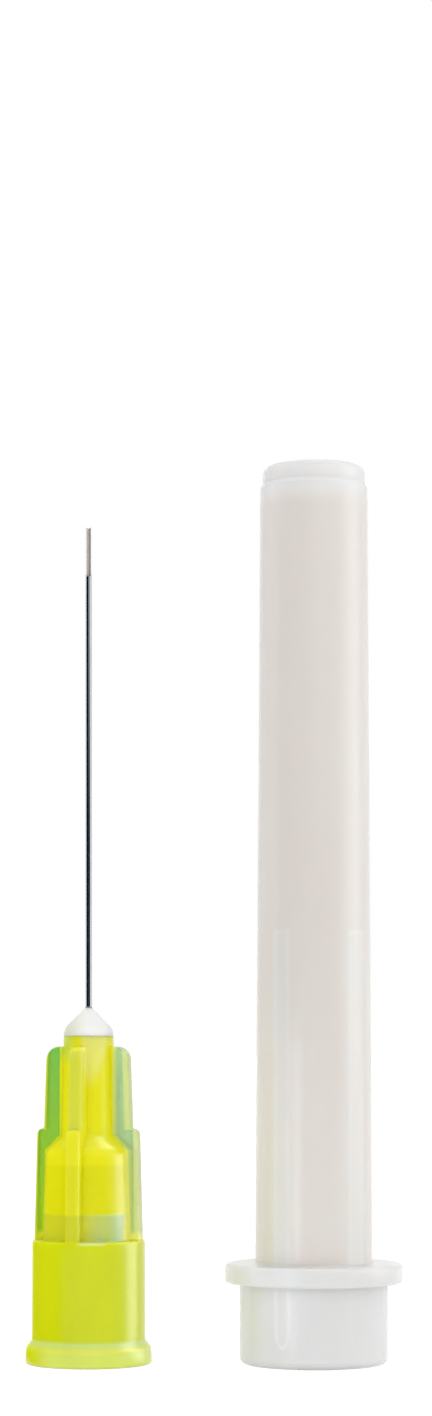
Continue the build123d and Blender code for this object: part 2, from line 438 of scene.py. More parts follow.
def node(tree, kind, inputs=None, **settings):
    """Adds a shader node. An input is a value, or another node's output, which is linked to it."""
    made = tree.nodes.new(kind)
    for name, value in settings.items():
        setattr(made, name, value)
    for key, value in (inputs or {}).items():
        if isinstance(value, bpy.types.NodeSocket):
            tree.links.new(value, made.inputs[key])
        else:
            made.inputs[key].default_value = value
    return made


def calculate(tree, operation, *values):
    """The output of a math node over its values."""
    made = node(tree, "ShaderNodeMath", dict(enumerate(values)), operation=operation)
    return made.outputs[0]


def less(tree, value, other):
    """A value less another one."""
    return calculate(tree, "SUBTRACT", value, other)


def apart(tree, value, other):
    """How far two values lie apart."""
    return calculate(tree, "ABSOLUTE", less(tree, value, other))


def larger(tree, value, other):
    """The larger one of two values."""
    return calculate(tree, "MAXIMUM", value, other)


def scaled(tree, value, factor, start):
    """A start plus a value times a factor."""
    return calculate(tree, "MULTIPLY_ADD", value, factor, start)


def product(tree, first, *others):
    """The product of two or more values."""
    for other in others:
        first = calculate(tree, "MULTIPLY", first, other)
    return first


def step(tree, value, low, high):
    """A smooth rise from 0 at low to 1 at high; it falls where low is above high."""
    inputs = {"Value": value, "From Min": low, "From Max": high}
    made = node(tree, "ShaderNodeMapRange", inputs, interpolation_type="SMOOTHSTEP")
    return made.outputs["Result"]


def ramp(tree, height, heights, lengths):
    """A length in mm that goes evenly from the first of lengths to the second between two heights."""
    inputs = {
        "Value": height,
        "From Min": heights[0] / MM,
        "From Max": heights[1] / MM,
        "To Min": lengths[0] / MM,
        "To Max": lengths[1] / MM,
    }
    return node(tree, "ShaderNodeMapRange", inputs).outputs["Result"]


def between(tree, value, low, high, blur):
    """1 between low and high, with edges of the width blur."""
    rise = step(tree, value, low - blur / 2, low + blur / 2)
    fall = step(tree, value, high + blur / 2, high - blur / 2)
    return product(tree, rise, fall)


def either(tree, share, first, second):
    """The first value with a share of the second."""
    return node(tree, "ShaderNodeMix", {0: share, 2: first, 3: second}).outputs[0]


def mix(tree, share, first, second):
    """The first colour with a share of the second."""
    return node(tree, "ShaderNodeMix", {0: share, 6: first, 7: second}, data_type="RGBA").outputs[2]


def graded(tree, value, stops):
    """A colour that goes evenly from stop to stop as the value, from 0 to 1, rises."""
    made = node(tree, "ShaderNodeValToRGB", {"Fac": value})
    elements = made.color_ramp.elements
    for place, tint in stops[1:-1]:
        elements.new(place).color = tint
    elements[0].position, elements[0].color = stops[0]
    elements[-1].position, elements[-1].color = stops[-1]
    return made.outputs["Color"]


def grey(value):
    """A colour whose three parts are all the same value."""
    return (value, value, value, 1.0)


def millimetres(tree, centre=(0.0, 0.0)):
    """The place on a piece, in millimetres from its axis."""
    spot = node(tree, "ShaderNodeTexCoord").outputs["Object"]
    inputs = {"Vector": spot, "Location": (-centre[0] / MM, -centre[1] / MM, 0), "Scale": (1 / MM,) * 3}
    vector = node(tree, "ShaderNodeMapping", inputs).outputs["Vector"]
    return Spot(vector, *node(tree, "ShaderNodeSeparateXYZ", {"Vector": vector}).outputs)


def off_axis(tree, spot):
    """Distance from the axis: the square root of x^2 + y^2."""
    squares = calculate(tree, "ADD", product(tree, spot.x, spot.x), product(tree, spot.y, spot.y))
    return calculate(tree, "SQRT", squares)


def along(tree, spot, direction):
    """Distance from the axis along a direction: x cos(direction) + y sin(direction)."""
    x = product(tree, spot.x, np.cos(direction))
    y = product(tree, spot.y, np.sin(direction))
    return calculate(tree, "ADD", x, y)


def speckle(tree, spot, scale, stretch, detail):
    """Soft noise from 0 to 1 with the given number of features a millimetre, drawn out along Z."""
    inputs = {"Vector": spot.vector, "Scale": (scale, scale, scale / stretch)}
    spread = node(tree, "ShaderNodeMapping", inputs).outputs["Vector"]
    made = node(tree, "ShaderNodeTexNoise", {"Vector": spread, "Scale": 1.0, "Detail": detail})
    return made.outputs["Fac"]


def finish(name):
    """A new material with one shader in it: its node tree and the shader."""
    material = bpy.data.materials.new(name)
    material.use_nodes = True
    tree = material.node_tree
    return material, tree, tree.nodes["Principled BSDF"]


def set_inputs(shader, **values):
    """Sets a shader's own sockets; an underscore in a name stands for a space."""
    for name, value in values.items():
        shader.inputs[name.replace("_", " ")].default_value = value


def clouded(tree, shader, tint, cloud, swing):
    """Gives a shader its colour, which soft noise makes lighter or darker by up to a share of it."""
    shade = node(tree, "ShaderNodeMapRange", {"Value": cloud, "To Min": 1 - swing, "To Max": 1 + swing})
    inputs = {0: tint, 1: shade.outputs["Result"]}
    varied = node(tree, "ShaderNodeVectorMath", inputs, operation="MULTIPLY")
    tree.links.new(varied.outputs["Vector"], shader.inputs["Base Color"])


def dented(tree, shader, grain, strength, depth):
    """Gives a shader the relief of a moulded or drawn skin."""
    inputs = {"Height": grain, "Strength": strength, "Distance": depth}
    bump = node(tree, "ShaderNodeBump", inputs)
    tree.links.new(bump.outputs["Normal"], shader.inputs["Normal"])


def hub_bands(hub, nose):
    """The hub's bands as (share of its height, colour, clearness), from its foot to its nose."""
    collar = hub.collar_height / nose
    shoulder = hub.skirt_height / nose
    band = hub.socket_depth / nose
    upper = hub.channel_end / nose
    return [
        (0.0, hub.rim_colour, 0.05),
        (0.5 * collar, hub.rim_colour, 0.05),
        # Painted light: pale lines on the rim's upper edge and shelf, with the yellower seam line between
        # them
        (0.56 * collar, hub.shelf_highlight_colour, 0.05),
        (0.62 * collar, hub.seam_colour, 0.05),
        (0.74 * collar, hub.seam_colour, 0.05),
        (0.84 * collar, hub.shelf_highlight_colour, 0.05),
        (0.98 * collar, hub.shelf_highlight_colour, 0.05),
        (1.1 * collar, hub.skirt_colour, 0.08),
        (shoulder - BAND_EDGE, hub.skirt_colour, 0.08),
        (shoulder + BAND_EDGE, hub.band_colour, 0.38),
        (band - BAND_EDGE, hub.band_colour, 0.38),
        (band + BAND_EDGE, hub.body_colour, 0.06),
        (upper - BAND_EDGE, hub.body_colour, 0.06),
        (upper + BAND_EDGE, hub.neck_colour, 0.06),
        (1.0, hub.neck_colour, 0.08),
    ]


def hub_core(tree, hub, spot, aside, nose, well_foot):
    """Colour and clearness of the hub, but for the faces of its side fins.

    The length aside is the distance from the axis along the direction of the two side fins. Over
    the bands lie, in this order: painted light on the +X side of the clear band; the white glue
    well seen through the neck, its middle shifted towards +X as painted light; painted shade on
    the -X end of the rim; a painted highlight line on the shoulder; painted light on the seam
    beside the fin on the +X side; and painted shade on the upper end of the neck on the -X side.
    """
    top = nose / MM
    shoulder = hub.skirt_height / MM
    share = calculate(tree, "DIVIDE", spot.height, top)
    bands = hub_bands(hub, nose)
    core = graded(tree, share, [(place, tuple(tint)) for place, tint, clear in bands])
    core_clear = graded(tree, share, [(place, grey(clear)) for place, tint, clear in bands])

    banded = between(tree, share, shoulder / top, hub.socket_depth / nose, BAND_EDGE)
    # Painted light: the clear band turns paler towards its lit +X side, broken into streaks
    pane = product(tree, step(tree, aside, 0.2, 2.3), step(tree, aside, 2.7, 2.5))
    streak = step(tree, speckle(tree, spot, 1.3, 8.0, 1.0), 0.3, 0.6)
    pane = product(tree, banded, pane, scaled(tree, streak, 0.4, 0.6))
    core = mix(tree, pane, core, hub.lit_pane_colour)

    # The white glue well seen through the neck is painted here; its middle shifts towards +X as painted light
    well = (well_foot, nose)
    glow_width = ramp(tree, spot.height, well, (0.2 * MM, 0.85 * MM))
    glow_middle = ramp(tree, spot.height, well, (0.1 * MM, 0.42 * MM))
    off_glow = apart(tree, spot.x, glow_middle)
    glow = step(tree, less(tree, off_glow, glow_width), 0.25, -0.25)
    glow_foot = 1.01 * well_foot / nose
    glow = product(tree, glow, step(tree, share, glow_foot, glow_foot + 0.1))
    core = mix(tree, glow, core, hub.nose_colour)

    # Painted shade: the -X end of the rim, away from the light, is deepened to the skirt's yellow
    collar = hub.collar_height / nose
    shaded = product(tree, step(tree, aside, -1.0, -2.9), step(tree, share, collar, 0.5 * collar))
    core = mix(tree, shaded, core, hub.skirt_colour)

    # Painted highlight: a thin light line along the front of the shoulder's edge
    shoulder_highlight = between(tree, spot.height, shoulder - 0.2, shoulder + 0.03, 0.08)
    shoulder_highlight = product(tree, shoulder_highlight, between(tree, spot.x, -0.45, 1.1, 0.5), 0.7)
    core = mix(tree, shoulder_highlight, core, hub.lit_fin_edge_colour)

    # Painted light: the body beside the +X fin's root is lightened, as if lit through the fin
    over_shoulder = step(tree, share, shoulder / top, shoulder / top + BAND_EDGE)
    seam = product(tree, step(tree, spot.x, 2.15, 2.35), over_shoulder)
    core = mix(tree, seam, core, hub.root_light_colour)
    core_clear = mix(tree, seam, core_clear, grey(0.05))

    # Painted shade: the upper end of the neck on the -X side, away from the light
    left = step(tree, spot.x, -0.5, -1.3)
    dim = product(tree, left, step(tree, spot.height, top - 2.0, top - 0.6), 0.8)
    return mix(tree, dim, core, hub.neck_shade_colour), core_clear


def hub_plastic(hub, nose, well_foot):
    """Tinted polypropylene: bands of colour and clearness by height, and greener faces on two fins.

    A fin's face is seen as green where it stands out past the body, along the direction of the two
    side fins: a painted see-through tint, with painted shade on the -X fin and painted light on the
    +X fin. The strip along a fin's outer edge is a painted light line where light bends through the
    rounded edge, yellow like the body.
    """
    material, tree, shader = finish("hub_plastic")
    spot = millimetres(tree)
    height = spot.height
    aside = along(tree, spot, hub.fin_turn + np.pi / 2)
    core, core_clear = hub_core(tree, hub, spot, aside, nose, well_foot)

    foot = hub.skirt_height
    body = (foot, hub.body_height)
    cone = (hub.body_height, hub.body_height + hub.cone_rise)
    body_edge = ramp(tree, height, body, (hub.body_foot_radius, hub.body_top_radius))
    drawn_in = ramp(tree, height, cone, (0, hub.body_top_radius - hub.neck_foot_radius))
    body_edge = less(tree, body_edge, drawn_in)
    past_body = less(tree, calculate(tree, "ABSOLUTE", aside), body_edge)
    above = step(tree, height, foot / MM + 0.1, foot / MM + 0.7)
    face = product(tree, step(tree, past_body, -0.02, 0.08), above)

    lower = (foot, hub.lower_fin_height)
    upper = (hub.lower_fin_height, nose)
    stepped = calculate(tree, "GREATER_THAN", height, hub.lower_fin_height / MM - 0.05)
    lower_reach = ramp(tree, height, lower, (hub.lower_fin_foot, hub.lower_fin_top))
    upper_reach = ramp(tree, height, upper, (hub.upper_fin_foot, hub.upper_fin_top))
    reach = either(tree, stepped, lower_reach, upper_reach)
    inset = less(tree, reach, off_axis(tree, spot))
    right = step(tree, aside, -0.5, 0.5)
    widening = either(tree, stepped, ramp(tree, height, lower, (1.15 * MM, 0.6 * MM)), 1.0)
    width = product(tree, scaled(tree, right, 0.14, 0.16), widening)
    strip = step(tree, calculate(tree, "DIVIDE", inset, width), 1.3, 0.7)

    # Painted light and shade: the +X fin gets the lit colours and the -X fin the shaded ones, going from foot
    # to top
    rise = ramp(tree, height, (foot, nose), (0, MM))
    deep = mix(tree, rise, hub.shaded_fin_foot_colour, hub.shaded_fin_colour)
    pale = mix(tree, rise, hub.lit_fin_foot_colour, hub.lit_fin_colour)
    # Painted light: a lighter strip along each side fin's outer edge, wider on the +X fin
    edges = mix(tree, right, hub.shaded_fin_edge_colour, hub.lit_fin_edge_colour)
    side_fin = mix(tree, strip, mix(tree, right, deep, pale), edges)
    # Painted light: the +X fin's face near its root is lightened against the shade of the corner
    root = product(tree, right, step(tree, past_body, 0.5, 0.0))
    side_fin = mix(tree, product(tree, root, 0.45), side_fin, hub.root_light_colour)
    # Painted light along the outer edges of the front and back fins, strongest on the upper fins
    front = product(tree, strip, above, scaled(tree, stepped, 0.4, 0.15))
    core = mix(tree, front, core, hub.front_fin_edge_light_colour)
    clouded(tree, shader, mix(tree, face, core, side_fin), speckle(tree, spot, 0.6, 2.5, 3.0), 0.07)

    leaf_clear = mix(tree, strip, grey(0.6), grey(0.3))
    leaf_clear = mix(tree, root, leaf_clear, grey(0.15))
    tree.links.new(mix(tree, face, core_clear, leaf_clear), shader.inputs["Transmission Weight"])
    set_inputs(
        shader,
        Roughness=0.24,
        IOR=1.49,
        Specular_IOR_Level=0.35,
        Subsurface_Weight=1.0,
        Subsurface_Radius=(1.0, 1.0, 0.35),
        Subsurface_Scale=0.45 * MM,
        Coat_Weight=0.1,
        Coat_Roughness=0.15,
    )
    dented(tree, shader, speckle(tree, spot, 9.0, 1.0, 2.0), 0.12, 0.02 * MM)
    return material


def cannula_steel(cannula, tip):
    """Drawn steel with faint lengthwise lines; the notch's trough is duller, with painted light on its -X
    side and painted shade on its +X side, and its ground rims are painted white as a painted highlight.
    """
    material, tree, shader = finish("cannula_steel")
    spot = millimetres(tree)
    start = (tip - cannula.notch_length) / MM
    bore = cannula.bore_radius / MM
    notch = step(tree, spot.height, start - 0.02, start)
    trough = step(tree, off_axis(tree, spot), bore + 0.02, bore + 0.005)
    # Painted highlight: the notch's ground rims are painted matt white in place of their glint
    rim = less(tree, step(tree, spot.y, -0.03, -0.004), step(tree, spot.y, 0.004, 0.03))
    rim = product(tree, notch, rim)
    dull = product(tree, notch, trough)
    # Painted light and shade: the trough is lighter on its -X side and shaded on its +X side
    trough_light_and_shade = mix(tree, step(tree, spot.x, -0.06, 0.06), cannula.lit_trough_colour, cannula.shade_colour)
    steel = mix(tree, dull, cannula.steel_colour, trough_light_and_shade)
    tree.links.new(mix(tree, rim, steel, cannula.rim_colour), shader.inputs["Base Color"])
    matt = larger(tree, rim, product(tree, dull, 0.65))
    tree.links.new(less(tree, 1.0, matt), shader.inputs["Metallic"])
    tree.links.new(scaled(tree, dull, 0.35, 0.08), shader.inputs["Roughness"])
    dented(tree, shader, speckle(tree, spot, 40.0, 60.0, 2.0), 0.08, 0.004 * MM)
    return material


def white_adhesive(adhesive):
    """Cured white adhesive, dense and smooth, with painted shade and a painted bounce of the hub's yellow
    light on its -X side, and painted bluish shade on its +X edge.
    """
    material, tree, shader = finish("white_adhesive")
    spot = millimetres(tree)
    cloud = speckle(tree, spot, 1.5, 1.0, 2.0)
    bright = tuple(adhesive.drop_colour)
    dull = tuple(0.93 * value for value in bright[:3]) + (1.0,)
    drop = mix(tree, cloud, dull, bright)
    # Painted shade with the hub's bounced yellow light on the -X side
    drop = mix(tree, step(tree, spot.x, 0.2, -1.5), drop, adhesive.shaded_side_colour)
    # Painted shade: a darker, bluish +X edge
    drop = mix(tree, step(tree, spot.x, 0.8, 1.6), drop, adhesive.edge_colour)
    tree.links.new(drop, shader.inputs["Base Color"])
    set_inputs(
        shader,
        Roughness=0.4,
        Specular_IOR_Level=0.3,
        Subsurface_Weight=0.8,
        Subsurface_Radius=(1.0, 1.0, 1.0),
        Subsurface_Scale=0.2 * MM,
    )
    dented(tree, shader, cloud, 0.1, 0.03 * MM)
    return material


def cap_plastic(cap, centre, top):
    """Milky polypropylene: warm in the tube, whiter at both ends and where a rib backs the wall.

    A rib's outline is a painted light line, where light bends at the rib's edges behind the wall, with a
    fainter fill between. It is drawn by its distance along X from the rib's middle line, with a rounded
    foot: the outline's height there rises by point (distance / half width)^2.
    """
    material, tree, shader = finish("cap_plastic")
    spot = millimetres(tree, centre)
    height = spot.height
    flange = cap.flange_top / MM
    recess = (top - cap.recess_depth) / MM
    low = step(tree, height, flange + 0.15, flange - 0.15)
    end = step(tree, height, recess - cap.end_wall / MM - 0.6, recess)
    base = mix(tree, larger(tree, low, end), cap.tube_colour, cap.skirt_colour)

    place = apart(tree, apart(tree, spot.x, cap.outline_shift / MM), cap.outline_place / MM)
    half = cap.rib_width / MM / 2
    lift = scaled(tree, product(tree, place, place), -cap.rib_point / MM / half**2, height)

    def within(margin):
        """1 on the wall in front of a rib, drawn in from the rib's outline by a margin."""
        blur = 0.12
        side = half - margin
        foot = cap.rib_foot / MM + margin
        head = cap.rib_top / MM - margin
        narrow = step(tree, place, side + blur, side - blur)
        over = step(tree, lift, foot - blur, foot + blur)
        return product(tree, narrow, over, step(tree, height, head + blur, head - blur))

    # Painted light: a light line along each rib's outline; the faint fill is the rib behind the wall
    line = less(tree, within(0.0), within(0.2))
    drawn = scaled(tree, line, 0.3, product(tree, within(0.0), 0.22))
    mouth = cap.mouth_depth / MM
    ring = product(tree, between(tree, height, mouth - 0.35, mouth, 0.2), 0.3)
    ribbed = mix(tree, larger(tree, drawn, ring), base, cap.rib_colour)
    clouded(tree, shader, ribbed, speckle(tree, spot, 0.35, 4.0, 3.0), 0.03)

    skirt = cap.flange_foot / MM
    dense = product(tree, line, step(tree, height, skirt, skirt - 0.4), step(tree, spot.x, 3.0, -1.0))
    tree.links.new(scaled(tree, dense, -0.08, 0.25), shader.inputs["Transmission Weight"])
    set_inputs(
        shader,
        Roughness=0.18,
        IOR=1.49,
        Subsurface_Weight=1.0,
        Subsurface_Radius=(1.0, 0.9, 0.85),
        Subsurface_Scale=0.4 * MM,
    )
    dented(tree, shader, speckle(tree, spot, 6.0, 3.0, 2.0), 0.1, 0.02 * MM)
    return material


# Pieces


def hub_body(hub, seat_radius, bore_radius, well_radius, well_foot_radius, well_foot, neck_radius, nose):
    """The turned part of the hub, with its hollows, and the rim raised to the lugs' height over them.

    The rim's height over the direction a is that between the lugs, plus the lugs' extra height times
    a smooth rise of (half width - distance from the lug's middle line) / ramp.
    """
    angle = np.linspace(0, 2 * np.pi, hub.columns, endpoint=False)
    off_middle = np.abs(hub.rim_radius * np.sin(angle - hub.lug_middle))
    rise = np.clip((hub.lug_half_width - off_middle) / hub.lug_ramp, 0, 1)
    rim_height = hub.rim_height + (hub.lug_height - hub.rim_height) * rise**2 * (3 - 2 * rise)
    lead = 0.15 * MM
    cannula_foot = hub.channel_end + 0.9 * MM
    corners = [
        (hub.socket_radius + lead, 0, 0),
        (hub.rim_radius, 0, 0.2 * MM),
        (hub.rim_top_radius, rim_height, 0.09 * MM),
        (hub.skirt_foot_radius, hub.collar_height, 0.3 * MM),
        (hub.skirt_top_radius, hub.skirt_height, 0.18 * MM),
        (hub.body_foot_radius, hub.skirt_height, 0.08 * MM),
        (hub.body_top_radius, hub.body_height, 0.95 * MM),
        (hub.neck_foot_radius, hub.body_height + hub.cone_rise, 0.5 * MM),
        (neck_radius, nose, 0.012 * MM),
        (well_radius, nose, 0),
        (well_foot_radius, well_foot, 0.2 * MM),
        (seat_radius, well_foot, 0),
        (seat_radius, cannula_foot, 0),
        (bore_radius, cannula_foot, 0),
        (hub.channel_radius, hub.channel_end, 0),
        (hub.channel_radius, hub.socket_depth, 0),
        (hub.socket_end_radius, hub.socket_depth, 0),
        (hub.socket_radius - 0.03 * lead, lead, 0),
    ]
    return turned("hub_moulding", corners, hub.columns, 0.4 * MM)


def hub_fins(hub, nose):
    """Four stepped fins with rounded edges; their inner ends lie inside the hub's wall."""
    across, drawn = rounded_across(hub.fin_thickness / 2, hub.fin_edge)
    root = hub.body_top_radius - 0.3 * MM
    neck_root = hub.neck_foot_radius - 0.3 * MM
    foot = hub.skirt_height - 0.2 * MM
    top = nose - hub.upper_fin_drop
    corners = [
        (root, foot, 0),
        (hub.lower_fin_foot - drawn, foot, 0),
        (hub.lower_fin_top - drawn, hub.lower_fin_height - drawn, hub.lower_fin_corner - drawn),
        (hub.upper_fin_foot - drawn, hub.lower_fin_height - drawn, 0.12 * MM + drawn),
        (hub.upper_fin_top - drawn, top - drawn, hub.upper_fin_corner - drawn),
        (neck_root, top - drawn, 0),
        (neck_root, hub.body_height + 0.4 * MM, 0),
        (root, hub.body_height - 0.6 * MM, 0),
    ]
    turns = hub.fin_turn + np.arange(4) * np.pi / 2
    return plates("hub_fins", across, corners, turns, 0.3 * MM)


class NEEDLE_OT_hub(bpy.types.Operator):
    """Makes the hub moulding with its rim, lugs, socket and fins"""

    bl_idname = "needle.hub"
    bl_label = "Make hub"

    def execute(self, context):
        hub = context.scene.needle_hub
        adhesive = context.scene.needle_adhesive
        nose = HUB_BOX[1].z
        clearance = 0.02 * MM
        piece = hub_body(
            hub,
            half_width(CANNULA_BOX) + clearance,
            context.scene.needle_cannula.bore_radius,
            adhesive.well_radius,
            adhesive.well_foot_radius,
            ADHESIVE_BOX[0].z,
            half_width(ADHESIVE_BOX),
            nose,
        )
        united(piece, hub_fins(hub, nose))
        plastic = hub_plastic(hub, nose, ADHESIVE_BOX[0].z)
        dressed(piece, "hub", "needle", plastic)
        return {"FINISHED"}


def wall(outer, inner, low, outer_high, inner_high, angle, rows):
    """A tube wall open at its foot: up its outside, over its end and down its inside.

    Along each direction the outside rises evenly from low to outer_high, and the inside falls from
    inner_high to low, so the end may slope from outside to inside and vary round the tube.
    """
    share = np.linspace(0, 1, rows + 1)[:, None]
    up = low + (outer_high - low) * share
    down = inner_high + (low - inner_high) * share
    height = np.concatenate([up, down])
    radius = np.concatenate([np.full_like(up, outer), np.full_like(down, inner)])
    return np.stack([radius * np.cos(angle), radius * np.sin(angle), height], axis=-1)


def cannula_patches(cannula, outer, foot, tip):
    """The tube as patches that meet edge to edge.

    The lower tube ends where the notch starts. Over it the back half goes on to the tip, whose end
    dips by the sine's square, and the front half ends on the round runout: at the distance y behind
    the front its height is runout - sqrt(r^2 - (y + r)^2), with the tube's radius r. Two flat
    strips, at y = 0, close the sides of the notch.
    """
    inner = cannula.bore_radius
    runout = tip - cannula.notch_length + outer
    start = runout - outer
    back = np.linspace(0, np.pi, cannula.columns + 1)
    front = np.linspace(np.pi, 2 * np.pi, cannula.columns + 1)
    whole = np.concatenate([back, front[1:-1]])

    def cut(radius):
        """Height of the notch's floor over the front half, for a wall of that radius."""
        y = np.minimum(radius * np.sin(front), 0)
        return runout - np.sqrt(np.maximum(outer**2 - (y + outer) ** 2, 0))

    bottom = np.full(whole.size, foot)
    lower = wall(outer, inner, start, bottom, bottom, whole, TUBE_ROWS)
    level = np.full(back.size, runout)
    sides = wall(outer, inner, start, level, level, back, RUNOUT_ROWS)
    end = tip - cannula.tip_dip * np.sin(back) ** 2
    upper = wall(outer, inner, runout, end, end, back, NOTCH_ROWS)
    floor = wall(outer, inner, start, cut(outer), cut(inner), front, RUNOUT_ROWS)
    strip = np.stack([upper[: NOTCH_ROWS + 1, [0, -1]], upper[:NOTCH_ROWS:-1, [0, -1]]], axis=1)
    sheets = [sides[: RUNOUT_ROWS + 1], sides[RUNOUT_ROWS + 1 :], upper, floor]
    sheets += [strip[:, :, 0], strip[:, :, 1]]
    return [(lower, False, True)] + [(sheet, False, False) for sheet in sheets]


class NEEDLE_OT_cannula(bpy.types.Operator):
    """Makes the steel tube with the notch in its tip"""

    bl_idname = "needle.cannula"
    bl_label = "Make cannula"

    def execute(self, context):
        cannula = context.scene.needle_cannula
        foot = CANNULA_BOX[0].z
        tip = CANNULA_BOX[1].z
        piece = surface("cannula_tube", cannula_patches(cannula, half_width(CANNULA_BOX), foot, tip))
        dressed(piece, "cannula", "needle", cannula_steel(cannula, tip))
        return {"FINISHED"}


class NEEDLE_OT_adhesive(bpy.types.Operator):
    """Makes the drop of adhesive on the nose and the fill of the glue well"""

    bl_idname = "needle.adhesive"
    bl_label = "Make adhesive"

    def execute(self, context):
        adhesive = context.scene.needle_adhesive
        foot = ADHESIVE_BOX[0].z
        top = ADHESIVE_BOX[1].z
        nose = HUB_BOX[1].z
        rim = half_width(ADHESIVE_BOX)
        tube = half_width(CANNULA_BOX)
        skin = 0.004 * MM
        shoulder = adhesive.shoulder_radius * np.tan(np.pi / 8)
        corners = [
            (tube, foot + skin, 0),
            (adhesive.well_foot_radius - skin, foot + skin, 0.2 * MM),
            (adhesive.well_radius - skin, nose + skin, 0),
            (rim, nose + skin, 0),
            (rim, nose + skin + shoulder, 0.999 * adhesive.shoulder_radius),
            (tube + skin, top - skin, adhesive.meniscus),
            (tube, top + adhesive.meniscus, 0),
        ]
        piece = turned("adhesive_drop", corners, adhesive.columns, 0.12 * MM)
        dressed(piece, "adhesive", "needle", white_adhesive(adhesive))
        return {"FINISHED"}


def cap_shell(cap, centre, top):
    """The turned part of the cap: from the middle of its recess outside, down, and up its bore."""
    ring_foot = top - cap.ring_height
    floor = top - cap.recess_depth
    bore_end = floor - cap.end_wall
    corners = [
        (0, floor, 0),
        (cap.recess_radius, floor, 0.15 * MM),
        (cap.recess_radius, top, 0.1 * MM),
        (cap.ring_radius, top, cap.ring_corner),
        (cap.ring_radius, ring_foot, 0.06 * MM),
        (cap.tube_top_radius, ring_foot - cap.ring_step, 0.12 * MM),
        (cap.tube_foot_radius, cap.flange_top, 0.15 * MM),
        (half_width(CAP_BOX), cap.flange_top, cap.flange_corner),
        (half_width(CAP_BOX), cap.flange_foot, 0.2 * MM),
        (cap.skirt_radius, cap.flange_foot, 0.08 * MM),
        (cap.skirt_radius, 0, cap.mouth_corner),
        (cap.mouth_radius, 0, 0.08 * MM),
        (cap.mouth_radius, cap.mouth_depth, 0),
        (cap.bore_radius, cap.mouth_depth, 0),
        (cap.bore_radius, cap.step_height, 0.3 * MM),
        (cap.tube_foot_radius - cap.tube_wall, cap.step_height, 0.15 * MM),
        (cap.tube_top_radius - cap.tube_wall, bore_end, 0.6 * MM),
        (0, bore_end, 0),
    ]
    return turned("cap_moulding", corners, cap.columns, 0.7 * MM, closed=False, centre=centre)


def cap_ribs(cap, centre):
    """Four ribs inside the cap, with pointed feet and round tops; their backs lie inside the wall.

    At the distance b from a rib's middle its foot is higher by point |b| / half width, and its top is
    lower by corner - sqrt(corner^2 - (|b| - half width + corner)^2) beyond the flat middle.
    """
    half = cap.rib_width / 2
    places, drawn = rounded_across(half, 0.1 * MM)
    middle = np.linspace(-0.7, 0.7, 9) * half
    across = np.concatenate([places[: ARC_STEPS + 1], middle, places[ARC_STEPS + 1 :]])
    drawn = np.interp(across, places, drawn)
    foot = cap.rib_foot + cap.rib_point * np.abs(across) / half
    beyond = np.clip(np.abs(across) - half + cap.rib_corner, 0, cap.rib_corner)
    top = cap.rib_top - cap.rib_corner + np.sqrt(cap.rib_corner**2 - beyond**2)
    inner = cap.rib_radius + drawn
    skirt_middle = (cap.mouth_radius + cap.skirt_radius) / 2
    wall_middle = cap.tube_top_radius - 0.4 * cap.tube_wall
    corners = [
        (inner, foot, 0),
        (skirt_middle, foot, 0),
        (skirt_middle, cap.step_height + 0.05 * MM, 0),
        (wall_middle, cap.flange_top - 0.05 * MM, 0),
        (wall_middle - 0.05 * MM, top, 0),
        (inner, top, 0),
    ]
    turns = cap.rib_turn + np.arange(4) * np.pi / 2
    return plates("cap_ribs", across, corners, turns, 1.0 * MM, centre)


class NEEDLE_OT_cap(bpy.types.Operator):
    """Makes the protective cap with its end ring, flange, skirt and inner ribs"""

    bl_idname = "needle.cap"
    bl_label = "Make cap"

    def execute(self, context):
        cap = context.scene.needle_cap
        low, high = CAP_BOX
        centre = ((low.x + high.x) / 2, (low.y + high.y) / 2)
        piece = cap_shell(cap, centre, high.z)
        united(piece, cap_ribs(cap, centre))
        dressed(piece, "cap", "cap", cap_plastic(cap, centre, high.z))
        return {"FINISHED"}


# Studio


def bare(holder):
    """The emptied node tree of a new material or world."""
    holder.use_nodes = True
    holder.node_tree.nodes.clear()
    return holder.node_tree


def seen_rays(tree):
    """1 for rays from the camera, in reflections and through clear pieces, and 0 for what gives light."""
    path = node(tree, "ShaderNodeLightPath").outputs
    seen = larger(tree, path["Is Camera Ray"], path["Is Glossy Ray"])
    return larger(tree, seen, path["Is Transmission Ray"])


def white_floor():
    """A white floor: bright to the camera and in reflections, with a weak shadow left on it."""
    material = bpy.data.materials.new("studio_floor")
    tree = bare(material)
    diffuse = node(tree, "ShaderNodeBsdfDiffuse", {"Color": grey(0.92)}).outputs[0]
    glow = node(tree, "ShaderNodeEmission", {"Strength": 1.2}).outputs[0]
    share = product(tree, seen_rays(tree), 0.72)
    bright = node(tree, "ShaderNodeMixShader", {0: share, 1: diffuse, 2: glow})
    node(tree, "ShaderNodeOutputMaterial", {"Surface": bright.outputs[0]})
    return material


def flat_panel(name, middle, width, height, towards):
    """A flat rectangle that faces a point: two directions square to its view span it."""
    middle = np.array(middle)
    facing = np.array(towards) - middle
    facing = facing / np.linalg.norm(facing)
    side = np.cross(facing, (0.0, 0.0, 1.0))
    side = side / np.linalg.norm(side) * width / 2
    up = np.cross(side, facing)
    up = up / np.linalg.norm(up) * height / 2
    corners = [middle - side - up, middle - side + up, middle + side + up, middle + side - up]
    mesh = bpy.data.meshes.new(name)
    mesh.from_pydata(corners, [], [(0, 1, 2, 3)])
    mesh.uv_layers.new().data.foreach_set("uv", (0, 0, 0, 1, 1, 1, 1, 0))
    panel = bpy.data.objects.new(name, mesh)
    bpy.context.scene.collection.objects.link(panel)
    return panel


